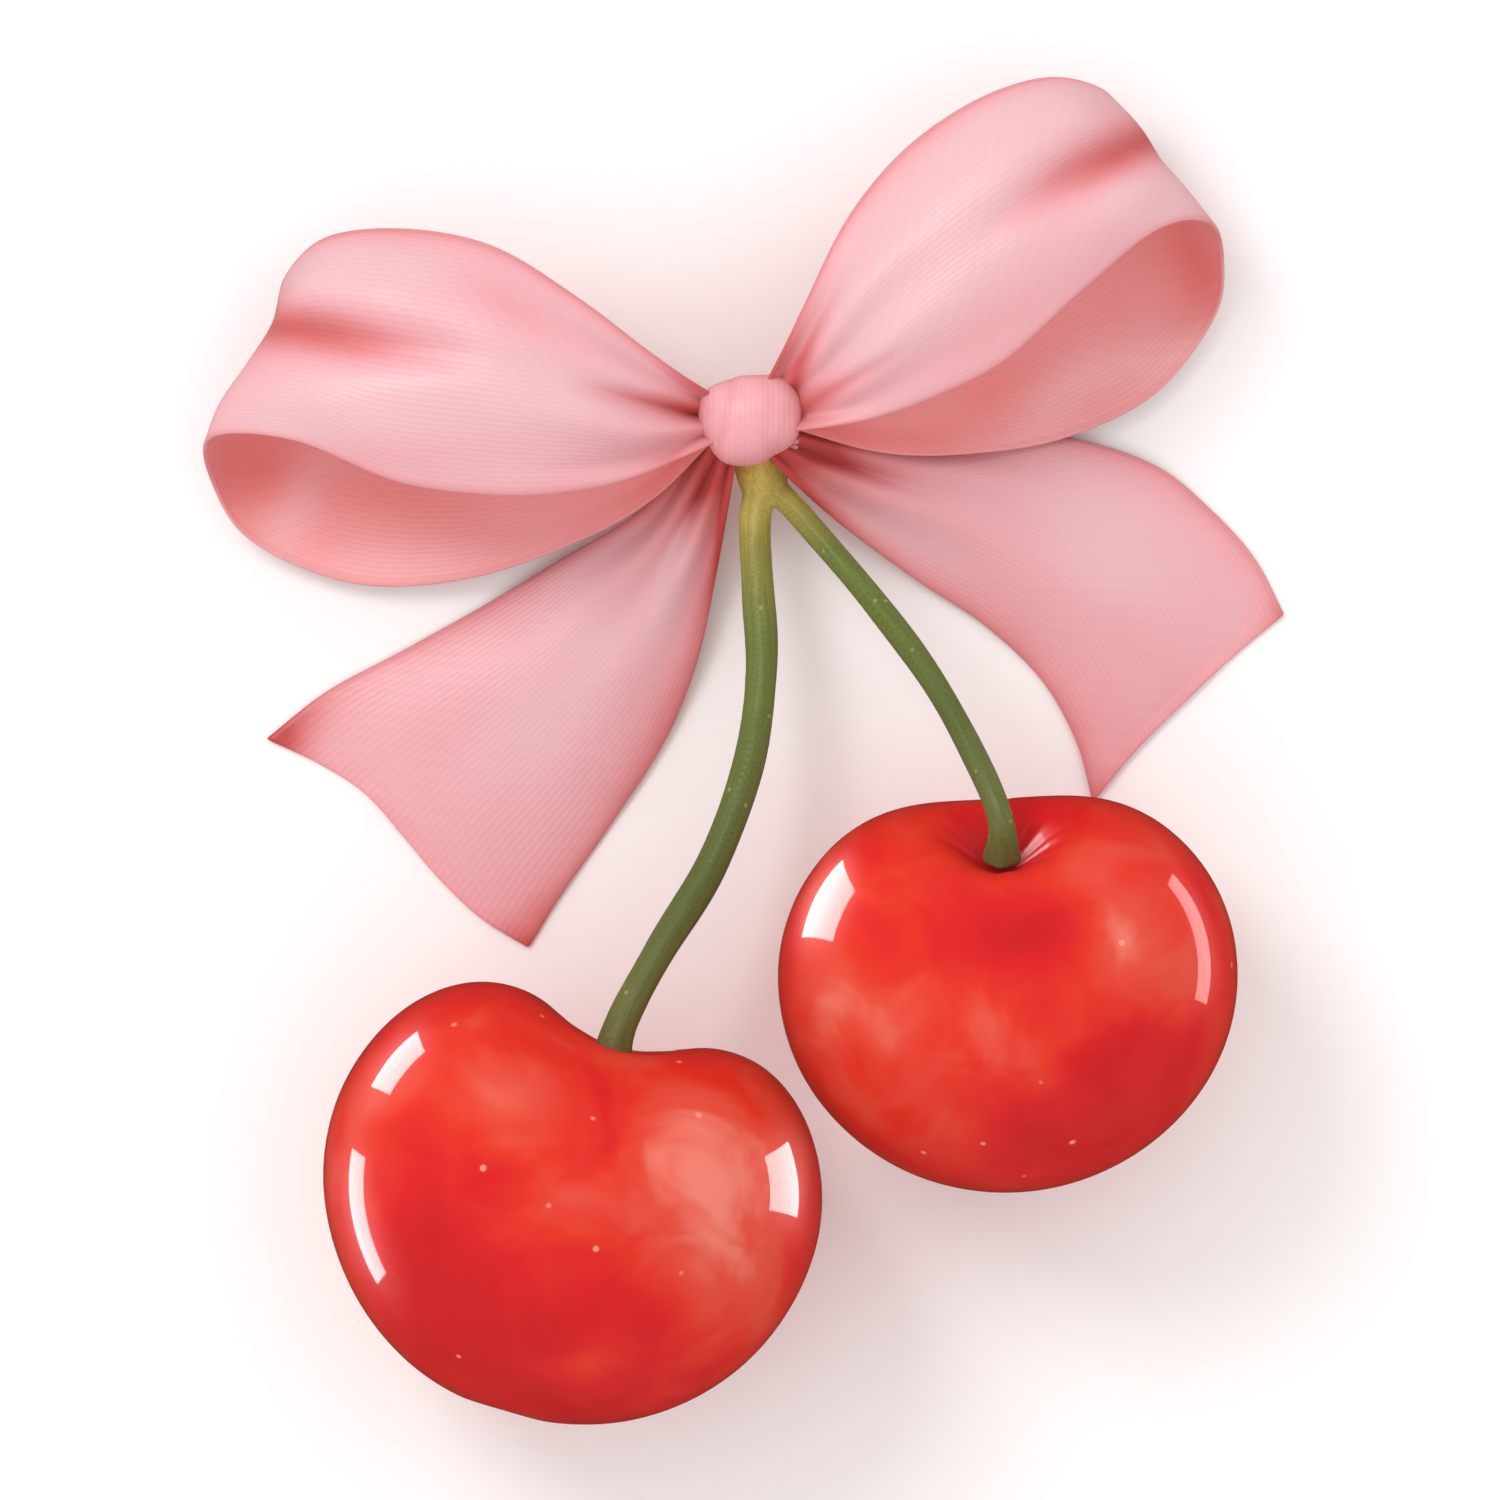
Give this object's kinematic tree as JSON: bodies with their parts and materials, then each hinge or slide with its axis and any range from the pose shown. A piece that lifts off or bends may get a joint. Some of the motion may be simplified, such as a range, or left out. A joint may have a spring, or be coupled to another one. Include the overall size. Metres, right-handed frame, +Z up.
{
  "type": "pair of cherries on stalks tied with a ribbon bow",
  "caption": "Pair of ripe cherries joined at the top of their stalks and tied with a satin ribbon bow, lying on a surface.",
  "frame": {"origin": "on the surface that the bunch lies on, under the middle of the whole bunch", "axes": "+Y from the fruit to the bow, +Z up from the surface, +X towards the higher cherry and the higher loop"},
  "size_m": [0.0586, 0.0731, 0.0246],
  "materials": {
    "cherry_skin": "gloss",
    "stalk": "satin",
    "ribbon": "satin"
  },
  "bodies": {
    "root": {"cherry_left": "cherry_skin", "cherry_right": "cherry_skin", "stalk_pair": "stalk", "bow_loop_left": "ribbon", "bow_loop_right": "ribbon", "bow_tail_left": "ribbon", "bow_tail_right": "ribbon", "bow_knot": "ribbon", "bow_band": "ribbon"}
  },
  "joints": []
}
